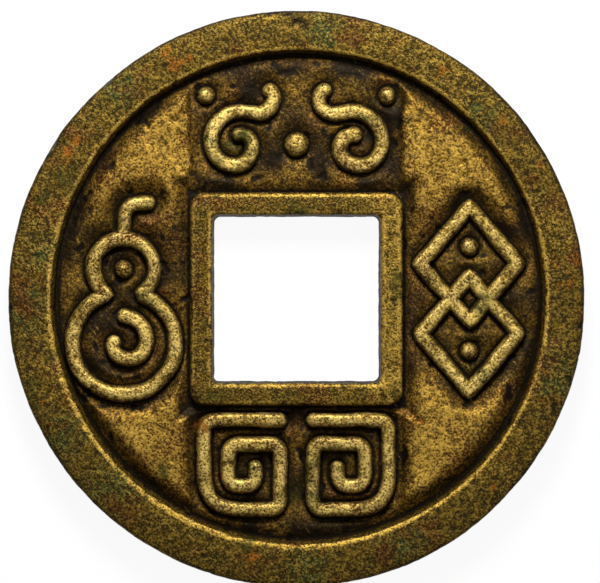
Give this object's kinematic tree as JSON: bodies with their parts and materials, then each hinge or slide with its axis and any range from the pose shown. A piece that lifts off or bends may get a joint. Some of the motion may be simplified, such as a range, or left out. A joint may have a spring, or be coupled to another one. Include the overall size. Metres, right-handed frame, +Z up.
{
  "type": "square-hole cash coin",
  "caption": "Round cast bronze cash coin with a square hole, raised rims and worn traditional relief ornament.",
  "frame": {"origin": "on the table under the middle of the coin", "axes": "+Z up out of the obverse, +Y towards the cloud scrolls, +X towards the linked lozenges"},
  "size_m": [0.03, 0.03, 0.002],
  "materials": {
    "rim_bronze": "aged, dark olive",
    "field_bronze": "aged, brown",
    "corner_bronze": "worn, satin",
    "worn_bronze": "worn bright"
  },
  "bodies": {
    "root": {"outer_rim": "rim_bronze", "inner_rim": "rim_bronze", "field_web": "field_bronze", "corner_field_upper_left": "corner_bronze", "corner_field_upper_right": "corner_bronze", "corner_field_lower_left": "corner_bronze", "corner_field_lower_right": "corner_bronze", "cloud_scroll_left": "worn_bronze", "cloud_scroll_right": "worn_bronze", "cloud_pearl": "worn_bronze", "cloud_bead_left": "worn_bronze", "cloud_bead_right": "worn_bronze", "thunder_spiral_left": "worn_bronze", "thunder_spiral_right": "worn_bronze", "gourd_outline": "worn_bronze", "gourd_curl": "worn_bronze", "gourd_bead": "worn_bronze", "linked_lozenges": "worn_bronze", "lozenge_bead_upper": "worn_bronze", "lozenge_bead_lower": "worn_bronze"}
  },
  "joints": []
}
